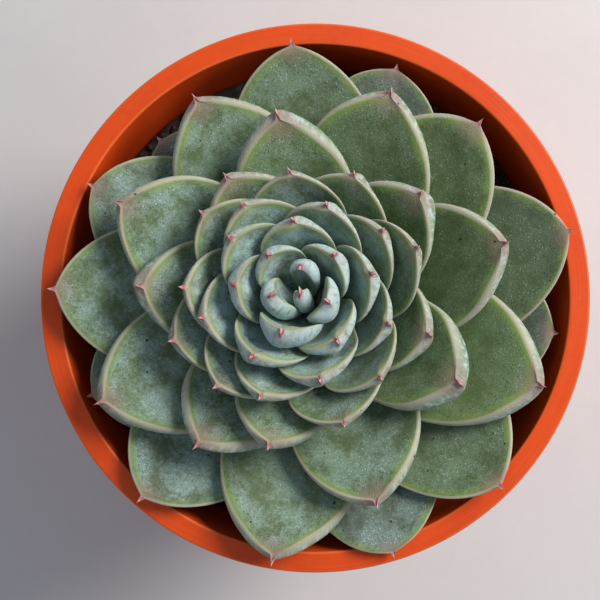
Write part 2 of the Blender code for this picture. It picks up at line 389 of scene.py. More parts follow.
@dataclass(frozen=True)
class LeafSkin:
    """The waxy skin of a leaf.

    The mesh carries three vectors at each point: skin (place on the blade, in mm),
    growth (which face, distance to the margin, distance to the tip, in mm) and
    leaf (age from 0 to 1, tone from -1 to 1, wax bloom plus painted side light).
    """

    young_green: Colour = (0.130, 0.205, 0.120)
    grown_green: Colour = (0.115, 0.172, 0.058)
    old_green: Colour = (0.120, 0.150, 0.105)
    # Painted shade colour for the leaf's base, where the leaves above it lie over it.
    painted_shade_green: Colour = (0.055, 0.115, 0.028)
    margin_green: Colour = (0.220, 0.320, 0.060)
    rim_cream: Colour = (0.460, 0.430, 0.330)
    back_wax: Colour = (0.410, 0.550, 0.560)
    back_green: Colour = (0.150, 0.230, 0.130)
    wax_blue: Colour = (0.370, 0.520, 0.530)
    wax_grain: Colour = (0.520, 0.670, 0.690)
    dark_grain: Colour = (0.030, 0.050, 0.020)
    blush: Colour = (0.290, 0.170, 0.150)
    rose: Colour = (0.380, 0.040, 0.085)
    spine: Colour = (0.660, 0.430, 0.400)
    soil_speck: Colour = (0.014, 0.010, 0.010)
    scar: Colour = (0.330, 0.300, 0.200)
    roughness: float = 0.52
    bump_height: float = 0.22 * MM
    glow_depth: float = 1.2 * MM

    # Spans in mm, from the margin or the tip, over which one look eases into the next.
    inside_rim: Span = (0.6, 1.8)
    edge_reach: Span = (7.0, 1.0)
    green_margin: Span = (3.4, 0.8)
    cream_line: Span = (1.0, 0.3)
    open_blade: Span = (40.0, 14.0)
    painted_base_shade: Span = (20.0, 42.0)
    tip_reach: Span = (16.0, 4.0)
    blush_reach: Span = (8.0, 2.0)
    rose_reach: Span = (3.7, 2.7)
    spine_reach: Span = (1.5, 0.6)

    def build(self, shop: Workshop) -> bpy.types.Material:
        """Makes the leaf material.

        Args:
            shop: The shared node groups.

        Returns:
            The material.
        """
        material, graph, shader = new_surface("leaf_skin")
        skin = graph.carried("skin")
        side, rim, tip = graph.parts("growth")
        age, tone, wax_and_side_light = graph.parts("leaf")
        top = graph.ease(side, -0.25, 0.35)

        patches = graph.group(shop.mottle, Vector=skin, Broad=0.16, Fine=0.9, Fine_Share=0.35)
        grain = graph.noise(skin, 3.4, 2.0, 0.6)
        flesh = self._flesh(graph, age, tone, patches)
        # Painted shade: the blade darkens towards its base, where the leaves above it lie over it.
        flesh = self._painted_base_shade(graph, flesh, tip, patches)

        # Where the skin is grainy with wax: out on the open blade, not under its neighbours.
        open_blade = graph.ease(tip, *self.open_blade, 0.25, 1.0)
        inner = graph.ease(rim, *self.inside_rim)
        dusty = graph.times(open_blade, inner, graph.ease(patches, 0.36, 0.62))
        # This wax share carries painted light too: leaves on one side of the plant are made paler and bluer.
        wax_and_side_light_share = graph.times(wax_and_side_light, graph.math("MULTIPLY_ADD", dusty, 0.8, 0.12))
        flesh = graph.mix(wax_and_side_light_share, flesh, self.wax_blue)

        by_rim, by_tip = graph.ease(rim, *self.edge_reach), graph.ease(tip, *self.tip_reach)
        near_edge = graph.math("MAXIMUM", by_rim, by_tip)
        dark = graph.group(shop.flecks, Vector=skin, Cells=2.5, Size=0.55, Share=0.62, Softness=0.3)
        light = graph.group(
            shop.flecks, Vector=graph.scaled(skin, (1.0, 1.0, 1.7)), Cells=2.1, Size=0.46, Share=0.5,
            Softness=0.2,
        )
        grown = graph.ease(age, 0.12, 0.6, 0.35, 1.0)
        dark_share = graph.times(dark, grown, graph.math("MULTIPLY_ADD", near_edge, 0.42, 0.42))
        flesh = graph.mix(graph.times(dark_share, inner), flesh, self.dark_grain)
        pale_share = graph.times(light, dusty, graph.math("MULTIPLY_ADD", wax_and_side_light, 0.6, 0.3))
        flesh = graph.mix(pale_share, flesh, self.wax_grain)

        patchy = graph.ease(patches, 0.36, 0.62, 0.1, 0.7)
        green_edge = graph.times(graph.ease(rim, *self.green_margin), patchy)
        face = graph.mix(green_edge, flesh, self.margin_green)
        back = self._back(graph, skin, age, patches)
        colour = graph.mix(top, back, face)

        on_top = graph.ease(side, -0.5, 0.1, 0.35, 1.0)
        lined = graph.ease(age, 0.0, 0.3, 0.3, 0.75)
        rim_line = graph.times(graph.ease(rim, *self.cream_line), lined, on_top)
        colour = graph.mix(rim_line, colour, self.rim_cream)
        colour = self._tip_colours(graph, colour, skin, tip, age)
        colour = self._marks(graph, shop, colour, skin)

        graph.put(colour, shader.inputs["Base Color"])
        matt = graph.math("MULTIPLY_ADD", wax_and_side_light_share, 0.25, self.roughness)
        graph.put(graph.math("MULTIPLY_ADD", grain, 0.12, matt), shader.inputs["Roughness"])
        shader.inputs["Specular IOR Level"].default_value = 0.35
        shader.inputs["Sheen Weight"].default_value = 0.12
        shader.inputs["Sheen Roughness"].default_value = 0.45
        shader.inputs["Subsurface Weight"].default_value = 0.10
        shader.inputs["Subsurface Radius"].default_value = (0.8, 1.0, 0.35)
        shader.inputs["Subsurface Scale"].default_value = self.glow_depth
        height = graph.math("MULTIPLY_ADD", grain, 0.7, graph.times(light, 0.4))
        add_bump(graph, shader, height, 0.5, self.bump_height)
        return material

    def _flesh(self, graph: Graph, age: Any, tone: Any, patches: Any) -> Any:
        """The green of the blade, by the leaf's age and its own tone.

        Args:
            graph: The material's graph.
            age: The leaf's age, from 0 to 1.
            tone: The leaf's own tone, from -1 to 1.
            patches: Soft patches around 0.5.

        Returns:
            The colour.
        """
        colour = graph.mix(graph.ease(age, 0.1, 0.55), self.young_green, self.grown_green)
        colour = graph.mix(graph.ease(age, 0.84, 0.96), colour, self.old_green)
        lift = graph.math("MULTIPLY_ADD", tone, 0.18, graph.ease(patches, 0.3, 0.7, 0.8, 1.25))
        bright = graph.add("HueSaturation")
        graph.put(lift, bright.inputs["Value"])
        graph.put(colour, bright.inputs["Color"])
        return bright.outputs[0]

    def _painted_base_shade(self, graph: Graph, flesh: Any, tip: Any, patches: Any) -> Any:
        """Painted shade: a smooth deeper green towards the leaf's base, where its neighbours lie over it.

        Args:
            graph: The material's graph.
            flesh: The colour so far.
            tip: Distance to the tip, in mm.
            patches: Soft patches around 0.5.

        Returns:
            The colour.
        """
        towards_base = graph.ease(tip, *self.painted_base_shade, 0.0, 0.75)
        shaded = graph.times(towards_base, graph.ease(patches, 0.2, 0.6, 0.6, 1.0))
        return graph.mix(shaded, flesh, self.painted_shade_green)

    def _back(self, graph: Graph, skin: Any, age: Any, patches: Any) -> Any:
        """The outer face: pale and waxy on young leaves, greener on grown ones.

        Args:
            graph: The material's graph.
            skin: Place on the blade.
            age: The leaf's age.
            patches: Soft patches around 0.5.

        Returns:
            The colour.
        """
        rubbed = graph.times(graph.noise(skin, 0.8, 3.0, 0.65), graph.ease(age, 0.0, 0.5, 0.9, 1.3))
        return graph.mix(graph.ease(rubbed, 0.38, 0.75), self.back_wax, self.back_green)

    def _tip_colours(self, graph: Graph, colour: Any, skin: Any, tip: Any, age: Any) -> Any:
        """The blush near the tip, the rose mark at its foot and the pale spine.

        Args:
            graph: The material's graph.
            colour: The colour so far.
            skin: Place on the blade.
            tip: Distance to the tip, in mm.
            age: The leaf's age.

        Returns:
            The colour.
        """
        ragged = graph.noise(skin, 1.9, 3.0, 0.7)
        reach = graph.math("MULTIPLY_ADD", ragged, -5.0, graph.math("ADD", tip, 2.5))
        blushed = graph.times(graph.ease(reach, *self.blush_reach), graph.ease(age, 0.25, 0.7, 0.15, 0.6))
        colour = graph.mix(blushed, colour, self.blush)
        streaks = graph.math("MULTIPLY_ADD", ragged, 2.6, tip)
        rosy = graph.times(graph.ease(streaks, *self.rose_reach), graph.ease(age, 0.15, 0.5, 1.0, 0.6))
        colour = graph.mix(rosy, colour, self.rose)
        return graph.mix(graph.ease(tip, *self.spine_reach, 0.0, 0.85), colour, self.spine)

    def _marks(self, graph: Graph, shop: Workshop, colour: Any, skin: Any) -> Any:
        """Scattered specks of soil and a few healed scars.

        Args:
            graph: The material's graph.
            shop: The shared node groups.
            colour: The colour so far.
            skin: Place on the blade.

        Returns:
            The colour.
        """
        specks = graph.group(shop.flecks, Vector=skin, Cells=0.24, Size=0.085, Share=0.5, Softness=0.02)
        fine = graph.group(
            shop.flecks, Vector=graph.scaled(skin, (1.0, 1.3, 1.0)), Cells=0.62, Size=0.11, Share=0.3,
            Softness=0.04,
        )
        scars = graph.ease(graph.noise(graph.scaled(skin, (1.0, 0.7, 1.0)), 0.55, 4.0, 0.75), 0.72, 0.78)
        colour = graph.mix(graph.times(scars, 0.55), colour, self.scar)
        colour = graph.mix(graph.times(fine, 0.7), colour, self.soil_speck)
        return graph.mix(graph.times(specks, 0.9), colour, self.soil_speck)


@dataclass(frozen=True)
class PotPlastic:
    """Matt moulded orange plastic, with dust and fine turning lines."""

    orange: Colour = (0.740, 0.070, 0.004)
    wear_and_highlight: Colour = (0.830, 0.190, 0.050)
    shadowed: Colour = (0.480, 0.032, 0.002)
    dust: Colour = (0.300, 0.170, 0.110)
    roughness: float = 0.46

    def build(self, shop: Workshop) -> bpy.types.Material:
        """Makes the pot material.

        The mesh carries wall: the way round in mm, the way along the profile in mm
        and how much an edge is lightened there, partly by wear and partly as painted highlight.

        Args:
            shop: The shared node groups.

        Returns:
            The material.
        """
        material, graph, shader = new_surface("pot_plastic")
        place = graph.place_mm()
        wall = graph.carried("wall")
        _, _, edge = graph.parts("wall")
        patches = graph.group(shop.mottle, Vector=place, Broad=0.045, Fine=0.5, Fine_Share=0.3)
        lines = graph.noise(graph.scaled(wall, (0.03, 2.2, 0.0)), 1.0, 3.0, 0.6)
        colour = graph.mix(graph.ease(patches, 0.35, 0.68, 0.0, 0.35), self.orange, self.shadowed)
        colour = graph.mix(graph.ease(lines, 0.45, 0.75, 0.0, 0.16), colour, self.wear_and_highlight)
        # Partly wear, partly painted highlight: the rounded edges are lightened where they catch the light.
        colour = graph.mix(graph.times(edge, 0.55), colour, self.wear_and_highlight)
        dusty = graph.group(shop.flecks, Vector=place, Cells=0.33, Size=0.1, Share=0.35, Softness=0.05)
        colour = graph.mix(graph.times(dusty, 0.5), colour, self.dust)
        graph.put(colour, shader.inputs["Base Color"])
        matt = graph.math("MULTIPLY_ADD", patches, 0.16, self.roughness - 0.08)
        graph.put(matt, shader.inputs["Roughness"])
        shader.inputs["Specular IOR Level"].default_value = 0.3
        height = graph.math("MULTIPLY_ADD", lines, 0.6, graph.times(patches, 0.4))
        add_bump(graph, shader, height, 0.35, 0.2 * MM)
        return material


@dataclass(frozen=True)
class SoilMix:
    """Damp dark potting mix."""

    peat: Colour = (0.012, 0.009, 0.007)
    bark: Colour = (0.060, 0.040, 0.028)
    grit: Colour = (0.150, 0.120, 0.095)

    def build(self, shop: Workshop) -> bpy.types.Material:
        """Makes the soil material.

        Args:
            shop: The shared node groups.

        Returns:
            The material.
        """
        material, graph, shader = new_surface("soil_mix")
        place = graph.place_mm()
        lumps = graph.group(shop.mottle, Vector=place, Broad=0.55, Fine=2.5, Fine_Share=0.5)
        colour = graph.mix(graph.ease(lumps, 0.42, 0.66), self.peat, self.bark)
        bits = graph.group(shop.flecks, Vector=place, Cells=0.8, Size=0.4, Share=0.1, Softness=0.1)
        colour = graph.mix(graph.times(bits, 0.6), colour, self.grit)
        graph.put(colour, shader.inputs["Base Color"])
        graph.put(graph.ease(lumps, 0.3, 0.7, 0.65, 0.95), shader.inputs["Roughness"])
        add_bump(graph, shader, lumps, 0.8, 0.6 * MM)
        return material


@dataclass(frozen=True)
class Perlite:
    """Pale porous bits among the soil."""

    white: Colour = (0.520, 0.470, 0.420)
    pores: Colour = (0.260, 0.200, 0.160)

    def build(self, shop: Workshop) -> bpy.types.Material:
        """Makes the perlite material.

        Args:
            shop: The shared node groups.

        Returns:
            The material.
        """
        material, graph, shader = new_surface("perlite")
        place = graph.place_mm()
        pits = graph.group(shop.flecks, Vector=place, Cells=2.2, Size=0.4, Share=0.6, Softness=0.2)
        graph.put(graph.mix(pits, self.white, self.pores), shader.inputs["Base Color"])
        graph.put(graph.math("MULTIPLY_ADD", pits, 0.1, 0.8), shader.inputs["Roughness"])
        add_bump(graph, shader, graph.math("SUBTRACT", 1.0, pits), 0.6, 0.3 * MM)
        return material


@dataclass(frozen=True)
class StemBark:
    """Dry brown stem with the scars of shed leaves."""

    bark: Colour = (0.130, 0.085, 0.045)
    scar: Colour = (0.290, 0.220, 0.130)

    def build(self, shop: Workshop) -> bpy.types.Material:
        """Makes the stem material.

        Args:
            shop: The shared node groups.

        Returns:
            The material.
        """
        material, graph, shader = new_surface("stem_bark")
        place = graph.place_mm(1.6)
        rings = graph.group(shop.mottle, Vector=place, Broad=0.3, Fine=1.4, Fine_Share=0.5)
        scars = graph.group(shop.flecks, Vector=place, Cells=0.3, Size=0.4, Share=0.5, Softness=0.1)
        colour = graph.mix(graph.times(scars, graph.ease(rings, 0.3, 0.6)), self.bark, self.scar)
        graph.put(colour, shader.inputs["Base Color"])
        graph.put(graph.ease(rings, 0.3, 0.7, 0.7, 0.95), shader.inputs["Roughness"])
        add_bump(graph, shader, rings, 0.6, 0.5 * MM)
        return material


@dataclass(frozen=True)
class FloorSheet:
    """A plain pale floor."""

    pale: Colour = (0.640, 0.620, 0.610)
    shade: Colour = (0.600, 0.580, 0.570)

    def build(self, shop: Workshop) -> bpy.types.Material:
        """Makes the floor material.

        Args:
            shop: The shared node groups.

        Returns:
            The material.
        """
        material, graph, shader = new_surface("floor_sheet")
        place = graph.place_mm()
        cloudy = graph.group(shop.mottle, Vector=place, Broad=0.01, Fine=0.2, Fine_Share=0.2)
        graph.put(graph.mix(graph.ease(cloudy, 0.3, 0.7), self.pale, self.shade), shader.inputs["Base Color"])
        graph.put(graph.ease(cloudy, 0.3, 0.7, 0.75, 0.85), shader.inputs["Roughness"])
        return material


# --------------------------------------------------------------------------- mesh helpers


def add_piece(
    name: str, points: np.ndarray, faces: Sequence[Sequence[int]], material: bpy.types.Material
) -> bpy.types.Object:
    """Makes a smooth mesh object.

    Args:
        name: The piece's name.
        points: Its points, in metres.
        faces: Its faces, as rows of point numbers.
        material: Its finish.

    Returns:
        The object.
    """
    mesh = bpy.data.meshes.new(name)
    mesh.from_pydata(np.asarray(points, float).tolist(), [], [list(face) for face in faces])
    mesh.validate()
    mesh.polygons.foreach_set("use_smooth", np.ones(len(mesh.polygons), bool))
    mesh.materials.append(material)
    mesh.update()
    piece = bpy.data.objects.new(name, mesh)
    bpy.context.scene.collection.objects.link(piece)
    return piece


def carry(piece: bpy.types.Object, name: str, vectors: np.ndarray) -> None:
    """Stores a vector at each point of a piece, for its material.

    Args:
        piece: The mesh object.
        name: The attribute's name.
        vectors: One row of three numbers for each point.
    """
    stored = piece.data.attributes.new(name, "FLOAT_VECTOR", "POINT")
    stored.data.foreach_set("vector", np.asarray(vectors, np.float32).ravel())


def ring_faces(rings: int, across: int, closed: bool = False) -> list[tuple[int, ...]]:
    """The quads of a tube of rings.

    Args:
        rings: How many rings there are.
        across: How many points each ring has.
        closed: Whether the last ring joins the first.

    Returns:
        The faces.
    """
    faces = []
    for low in range(rings if closed else rings - 1):
        high = (low + 1) % rings
        for i in range(across):
            j = (i + 1) % across
            faces.append((low * across + i, low * across + j, high * across + j, high * across + i))
    return faces


def capped_faces(rings: int, across: int) -> list[tuple[int, ...]]:
    """The faces of a tube of rings whose ends close on the two points stored after them.

    Args:
        rings: How many rings there are.
        across: How many points each ring has.

    Returns:
        The faces.
    """
    faces = ring_faces(rings, across)
    foot, top, last = rings * across, rings * across + 1, (rings - 1) * across
    for i in range(across):
        j = (i + 1) % across
        faces.append((foot, j, i))
        faces.append((last + i, last + j, top))
    return faces


def with_ends(grid: np.ndarray) -> np.ndarray:
    """The rows of a grid of rings as one list, followed by the mean of its first and last ring."""
    return np.vstack([grid.reshape(-1, 3), grid[0].mean(0), grid[-1].mean(0)])


def dress(piece: bpy.types.Object, slot: str, *nodes: str) -> bpy.types.Object:
    """Makes a piece ride on the one body and hides the CAD nodes that it stands for.

    Args:
        piece: The piece.
        slot: The record's material slot. Not used.
        nodes: The CAD nodes that it replaces.

    Returns:
        The piece.
    """
    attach(piece, ROOT)
    if nodes:
        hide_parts(*nodes)
    return piece


def smooth_larger(first: Any, second: Any, sharpness: float = 3.0) -> Any:
    """The larger of two lengths, with the change from one to the other rounded off."""
    return (np.maximum(first, 0.0) ** sharpness + np.maximum(second, 0.0) ** sharpness) ** (1.0 / sharpness)


# --------------------------------------------------------------------------- the plant


@dataclass
class Growth:
    """How leaves grow: the nested bowls that they lie on, by age from the bud."""

    spiral_start: float = 285.0
    spiral_turn: float = 138.57
    crown_top: float = 120 * MM
    base_step: float = 0.455 * MM
    neck_start: float = 1.6 * MM
    neck_growth: float = 8.2 * MM
    neck_ages: float = 14.0
    youngest: float = -3.0
    stem_x: float = 4.0 * MM
    stem_y: float = -3.4 * MM
    lean_from: float = 95 * MM
    lean_x: float = -0.25
    lean_y: float = 0.117
    bud_shift_x: float = 0.8 * MM
    bud_shift_y: float = 2.8 * MM
    bud_ages: float = 6.0
    bend_power: float = 1.3
    slope_step: float = 0.03
    ages: Stages = (-4, -1, 2.5, 8, 14, 20, 28, 33, 36, 40, 44, 50, 53, 57, 61)
    lengths: Stages = (9.5, 10.5, 16.6, 19.6, 23.2, 27, 30.2, 36, 43.5, 49, 56.5, 58, 54.5, 48.5, 46.5)
    base_slopes: Stages = (82, 70, 49, 42, 36, 33, 30, 26, 22, 18, 14, 12, 10.5, 8, 7)
    tip_slopes: Stages = (126, 122, 103, 74, 64, 58, 48, 40, 35, 28, 23, 22, 20, 15, 12)
    half_widths: Stages = (4, 4.6, 12, 13.6, 13.4, 13.6, 14.2, 15.0, 16.6, 18, 18.6, 19, 18, 16.5, 16)
    half_thicknesses: Stages = (1.0, 1.1, 3.0, 3.6, 3.4, 3.1, 2.9, 2.8, 2.8, 2.8, 2.8, 2.6, 2.3, 2.0, 1.8)
    age_rooms: Stages = (0.9, 0.9, 1.5, 1.6, 1.7, 1.9, 2.1, 2.2, 2.2, 2.2, 2.2, 2.2, 2.2, 2.1, 2.1)
    upper_shares: Stages = (
        0.9, 0.9, 0.9, 0.85, 0.75, 0.65, 0.6, 0.6, 0.6, 0.6, 0.6, 0.6, 0.6, 0.6, 0.6
    )
    tip_fullnesses: Stages = (
        0.5, 0.5, 0.5, 0.58, 0.62, 0.66, 0.68, 0.68, 0.68, 0.68, 0.68, 0.68, 0.68, 0.68, 0.68
    )
    fuller_ages: Stages = (0.0, 0.0, 0.4, 1.0, 1.1, 1.0, 0.8, 0.5, 0.3, 0.2, 0.1, 0.0, 0.0, 0.0, 0.0)
    edge_powers: Stages = (
        0.8, 0.8, 0.8, 0.75, 0.65, 0.55, 0.5, 0.5, 0.5, 0.5, 0.5, 0.5, 0.5, 0.5, 0.5
    )

    def __post_init__(self) -> None:
        """Works out where the bend of a blade is sampled."""
        spots, weights = np.polynomial.legendre.leggauss(20)
        self._spots = 0.5 * (spots + 1.0)
        self._weights = 0.5 * weights

    def at(self, age: Any, values: Sequence[float]) -> Any:
        """A growth value at this age, between the two nearest stages."""
        return np.interp(age, self.ages, values)

    def neck(self, age: Any) -> Any:
        """How far from the stem's axis a leaf of this age joins on."""
        grown = 1.0 - np.exp(-np.maximum(age, self.youngest) / self.neck_ages)
        return self.neck_start + self.neck_growth * grown

    def on_bowl(self, age: Any, along: Any) -> tuple[np.ndarray, np.ndarray]:
        """Where a place on the bowl of an age lies.

        Args:
            age: The age, as a number or an array.
            along: The share of the way along the blade, in the same shape.

        Returns:
            The radius and the height.
        """
        age, along = np.broadcast_arrays(np.asarray(age, float), np.asarray(along, float))
        base = self.at(age, self.base_slopes)[..., None]
        tip = self.at(age, self.tip_slopes)[..., None]
        spots = along[..., None] * self._spots
        slope = np.radians(base + (tip - base) * np.maximum(spots, 0.0) ** self.bend_power)
        length = self.at(age, self.lengths) * MM * along
        radius = self.neck(age) + length * (np.cos(slope) * self._weights).sum(-1)
        height = self.crown_top - self.base_step * age + length * (np.sin(slope) * self._weights).sum(-1)
        return radius, height

    def spacing(self, age: Any, along: Any) -> np.ndarray:
        """How far apart the bowls of neighbouring ages are, square to the blade.

        Args:
            age: The age.
            along: The share of the way along.

        Returns:
            The distance, in metres.
        """
        ahead = self.on_bowl(age, along + self.slope_step)
        behind = self.on_bowl(age, np.maximum(along - self.slope_step, 0.0))
        run, rise = ahead[0] - behind[0], ahead[1] - behind[1]
        older, younger = self.on_bowl(age + 0.5, along), self.on_bowl(age - 0.5, along)
        across = (older[0] - younger[0]) * rise - (older[1] - younger[1]) * run
        return np.abs(across) / np.hypot(run, rise)

    def leaned(self, x: Any, y: Any, z: Any) -> np.ndarray:
        """Moves points of the upright rosette to where the leaning one has them.

        Args:
            x: Their places along X.
            y: Their places along Y.
            z: Their heights.

        Returns:
            The moved points.
        """
        rise = np.maximum(z - self.lean_from, 0.0)
        moved = (x + self.stem_x + self.lean_x * rise, y + self.stem_y + self.lean_y * rise, z)
        return np.stack(np.broadcast_arrays(*moved), axis=-1)

    def place(self, age: Any, along: Any, turn: Any) -> np.ndarray:
        """Points on the bowls of the given ages.

        Args:
            age: The ages.
            along: The shares of the way along.
            turn: The angles round the stem, in radians.

        Returns:
            The points, in metres.
        """
        radius, height = self.on_bowl(age, along)
        bud = np.exp(-np.maximum(age, self.youngest) / self.bud_ages) * along
        x = radius * np.cos(turn) + self.bud_shift_x * bud
        y = radius * np.sin(turn) + self.bud_shift_y * bud
        return self.leaned(x, y, height)


@dataclass
class Leaf:
    """One thick cupped leaf that ends in a short spine."""

    number: int
    growth: Growth
    pushed: float = 0.0
    grew: float = 1.0
    base_share: float = 0.36
    widest_at: float = 0.66
    tip_curve: float = 2.0
    most_wrap: float = math.radians(57)
    edge_bluntness: float = 2.3
    tip_bluntness: float = 6.0
    cup_ages: float = 1.0
    fullest_across: float = 0.22
    fuller_spread: float = 0.3
    upper_fullness: float = 0.6
    spine_length: float = 2.1
    spine_foot: float = 0.78
    spine_taper: float = 1.25
    end_crowding: float = 1.15
    fade_length: float = 7.0
    broad_wave: float = 0.012
    fine_wave: float = 0.008
    dimple_depth: float = 0.16 * MM
    cup_left_at_tip: float = 0.35
    skin_apart: float = 9.0
    faces_apart: float = 1.5
    oldest: float = 56.0
    wax_lost: float = 0.7
    wax_lost_by: float = 32.0
    least_wax: float = 0.05
    # Painted light: leaves on one side of the plant get extra pale wax, standing in for the light their faces
    # catch there.
    painted_side_light: float = 0.30
    painted_light_bearing: float = math.radians(200.0)
    shape_seed: int = 1000
    tone_seed: int = 500
    rings: int = 46
    half_ring: int = 18

    def width_share(self, along: np.ndarray) -> np.ndarray:
        """The blade's half width at shares of its length, against its widest.

        Args:
            along: The shares.

        Returns:
            The widths, 0 from the end of the blade on.
        """
        rising = self.base_share + (1 - self.base_share) * np.sin(
            0.5 * np.pi * np.minimum(along / self.widest_at, 1.0)
        )
        past = np.clip((along - self.widest_at) / (1.0 - self.widest_at), 0.0, 1.0)
        falling = (1.0 - past**self.tip_curve) ** self.growth.at(self.number, self.growth.tip_fullnesses)
        return np.where(along < self.widest_at, rising, falling)

    def fullness(self, across: np.ndarray) -> np.ndarray:
        """How far the blade swells at places across it, into the gap that its neighbours leave."""
        return np.exp(-(((across - self.fullest_across) / self.fuller_spread) ** 2))

    def build(self, material: bpy.types.Material) -> bpy.types.Object:
        """Builds the leaf.

        Args:
            material: The leaf skin.

        Returns:
            The piece.
        """
        growth, number = self.growth, float(self.number)
        draw = np.random.default_rng(self.shape_seed + self.number)
        length = float(growth.at(number, growth.lengths)) * self.grew
        end = 1.0 + self.spine_length / length
        share = end * np.sin(0.5 * np.pi * np.linspace(0.0, 1.0, self.rings)) ** self.end_crowding
        share = share[:, None]
        half_turn = np.linspace(-0.5 * np.pi, 0.5 * np.pi, self.half_ring)
        theta = np.concatenate([half_turn, (np.pi - half_turn[::-1])[1:-1]])
        across, face = np.sin(theta)[None, :], np.cos(theta)[None, :]

        left = (end - share) * length
        spine = self.spine_foot * (np.maximum(left, 0.0) / self.spine_length) ** self.spine_taper
        body = float(growth.at(number, growth.half_widths)) * self.width_share(share)
        phases = draw.uniform(0.0, 2 * np.pi, 6)
        broad = self.broad_wave * np.sin(9.0 * share + phases[0] + across)
        fine = self.fine_wave * np.sin(17.0 * share + phases[1] * across)
        half_width = smooth_larger(body * (1.0 + broad + fine), spine)
        fading = np.clip(left / self.fade_length, 0.0, 1.0)
        fading = fading * fading * (3.0 - 2.0 * fading)

        along = share * self.grew
        radius = growth.on_bowl(number, along)[0]
        wrap = half_width * MM / radius
        wrap = self.most_wrap * np.tanh(wrap / self.most_wrap)
        spacing = growth.spacing(number, along)
        room = float(growth.at(number, growth.age_rooms))
        body_deep = float(growth.at(number, growth.half_thicknesses)) * np.sqrt(
            np.maximum(1.0 - np.minimum(share, 1.0) ** self.tip_bluntness, 0.0)
        )
        deep = smooth_larger(body_deep, spine)
        ages = room * np.tanh(deep * MM / spacing / room)

        power = float(growth.at(number, growth.edge_powers))
        edge = np.maximum(1.0 - np.abs(across) ** self.edge_bluntness, 0.0)
        edge = edge ** (0.5 + (power - 0.5) * fading)
        upper = float(growth.at(number, growth.upper_shares))
        ripple = (
            np.sin(0.19 * across * half_width + phases[2]) * np.cos(0.16 * share * length + phases[3])
            + 0.5 * np.sin(0.37 * across * half_width + phases[4]) * np.cos(0.31 * share * length + phases[5])
        )
        dimple = self.dimple_depth / spacing * ripple * edge * fading
        cupped = self.cup_left_at_tip + (1.0 - self.cup_left_at_tip) * fading
        middle = number - self.cup_ages * across**2 * cupped
        fuller = float(growth.at(number, growth.fuller_ages)) * np.minimum(ages / room, 1.0)
        above = -edge * (upper * ages + self.upper_fullness * fuller * self.fullness(across))
        below = edge * (ages + fuller * self.fullness(-across))
        lift = np.where(face >= 0.0, above, below)
        ages_here = middle + lift + dimple
        points = growth.place(ages_here, np.broadcast_to(along, ages_here.shape), self.turn() + across * wrap)

        faces = capped_faces(*points.shape[:2])
        piece = add_piece(f"skin_leaf_{self.number:02d}", with_ends(points), faces, material)
        self._carry(piece, share * length, across * half_width, half_width, face, length + self.spine_length)
        return piece

    def turn(self) -> float:
        """The leaf's angle round the stem, in radians."""
        return math.radians(self.growth.spiral_start + self.growth.spiral_turn * self.number + self.pushed)

    def _carry(
        self, piece: bpy.types.Object, way: np.ndarray, aside: np.ndarray, half_width: np.ndarray,
        face: np.ndarray, whole: float,
    ) -> None:
        """Stores what the leaf skin needs to know at each point.

        Args:
            piece: The leaf.
            way: How far along each ring is, in mm.
            aside: How far to the side each point is, in mm.
            half_width: The half width at each point, in mm.
            face: 1 on the upper face, -1 on the back, 0 at the margin.
            whole: The leaf's length with its spine, in mm.
        """
        way = np.broadcast_to(way, aside.shape)
        face = np.broadcast_to(face, aside.shape)
        slope = np.gradient(np.abs(half_width).mean(1), way[:, 0])
        rim = (np.abs(half_width) - np.abs(aside)) / np.hypot(1.0, slope)[:, None]
        to_tip = np.hypot(whole - way, aside)
        offset = self.skin_apart * self.number + self.faces_apart * face
        skin = np.stack([aside, way, offset], axis=-1)
        growth = np.stack([face, np.maximum(rim, 0.0), to_tip], axis=-1)
        carry(piece, "skin", with_ends(skin))
        carry(piece, "growth", with_ends(growth))
        tone = np.random.default_rng(self.tone_seed + self.number).uniform(-1.0, 1.0)
        leaf = [self.number / self.oldest, tone, self.wax_and_side_light()]
        carry(piece, "leaf", np.tile(leaf, (len(piece.data.vertices), 1)))

    def wax_and_side_light(self) -> float:
        """How much pale wax the leaf shows: most when young, as real wax, and more on one side of the plant,
        as painted light standing in for the light that the leaves there catch.

        Returns:
            The amount, from 0 to 1.
        """
        kept = 1.0 - self.wax_lost * min(self.number / self.wax_lost_by, 1.0)
        # Painted light: the closer a leaf's bearing is to the lit side, the more pale wax it gets.
        toward_painted_light_side = math.cos(self.turn() - self.painted_light_bearing)
        return float(np.clip(kept + self.painted_side_light * toward_painted_light_side, self.least_wax, 1.0))


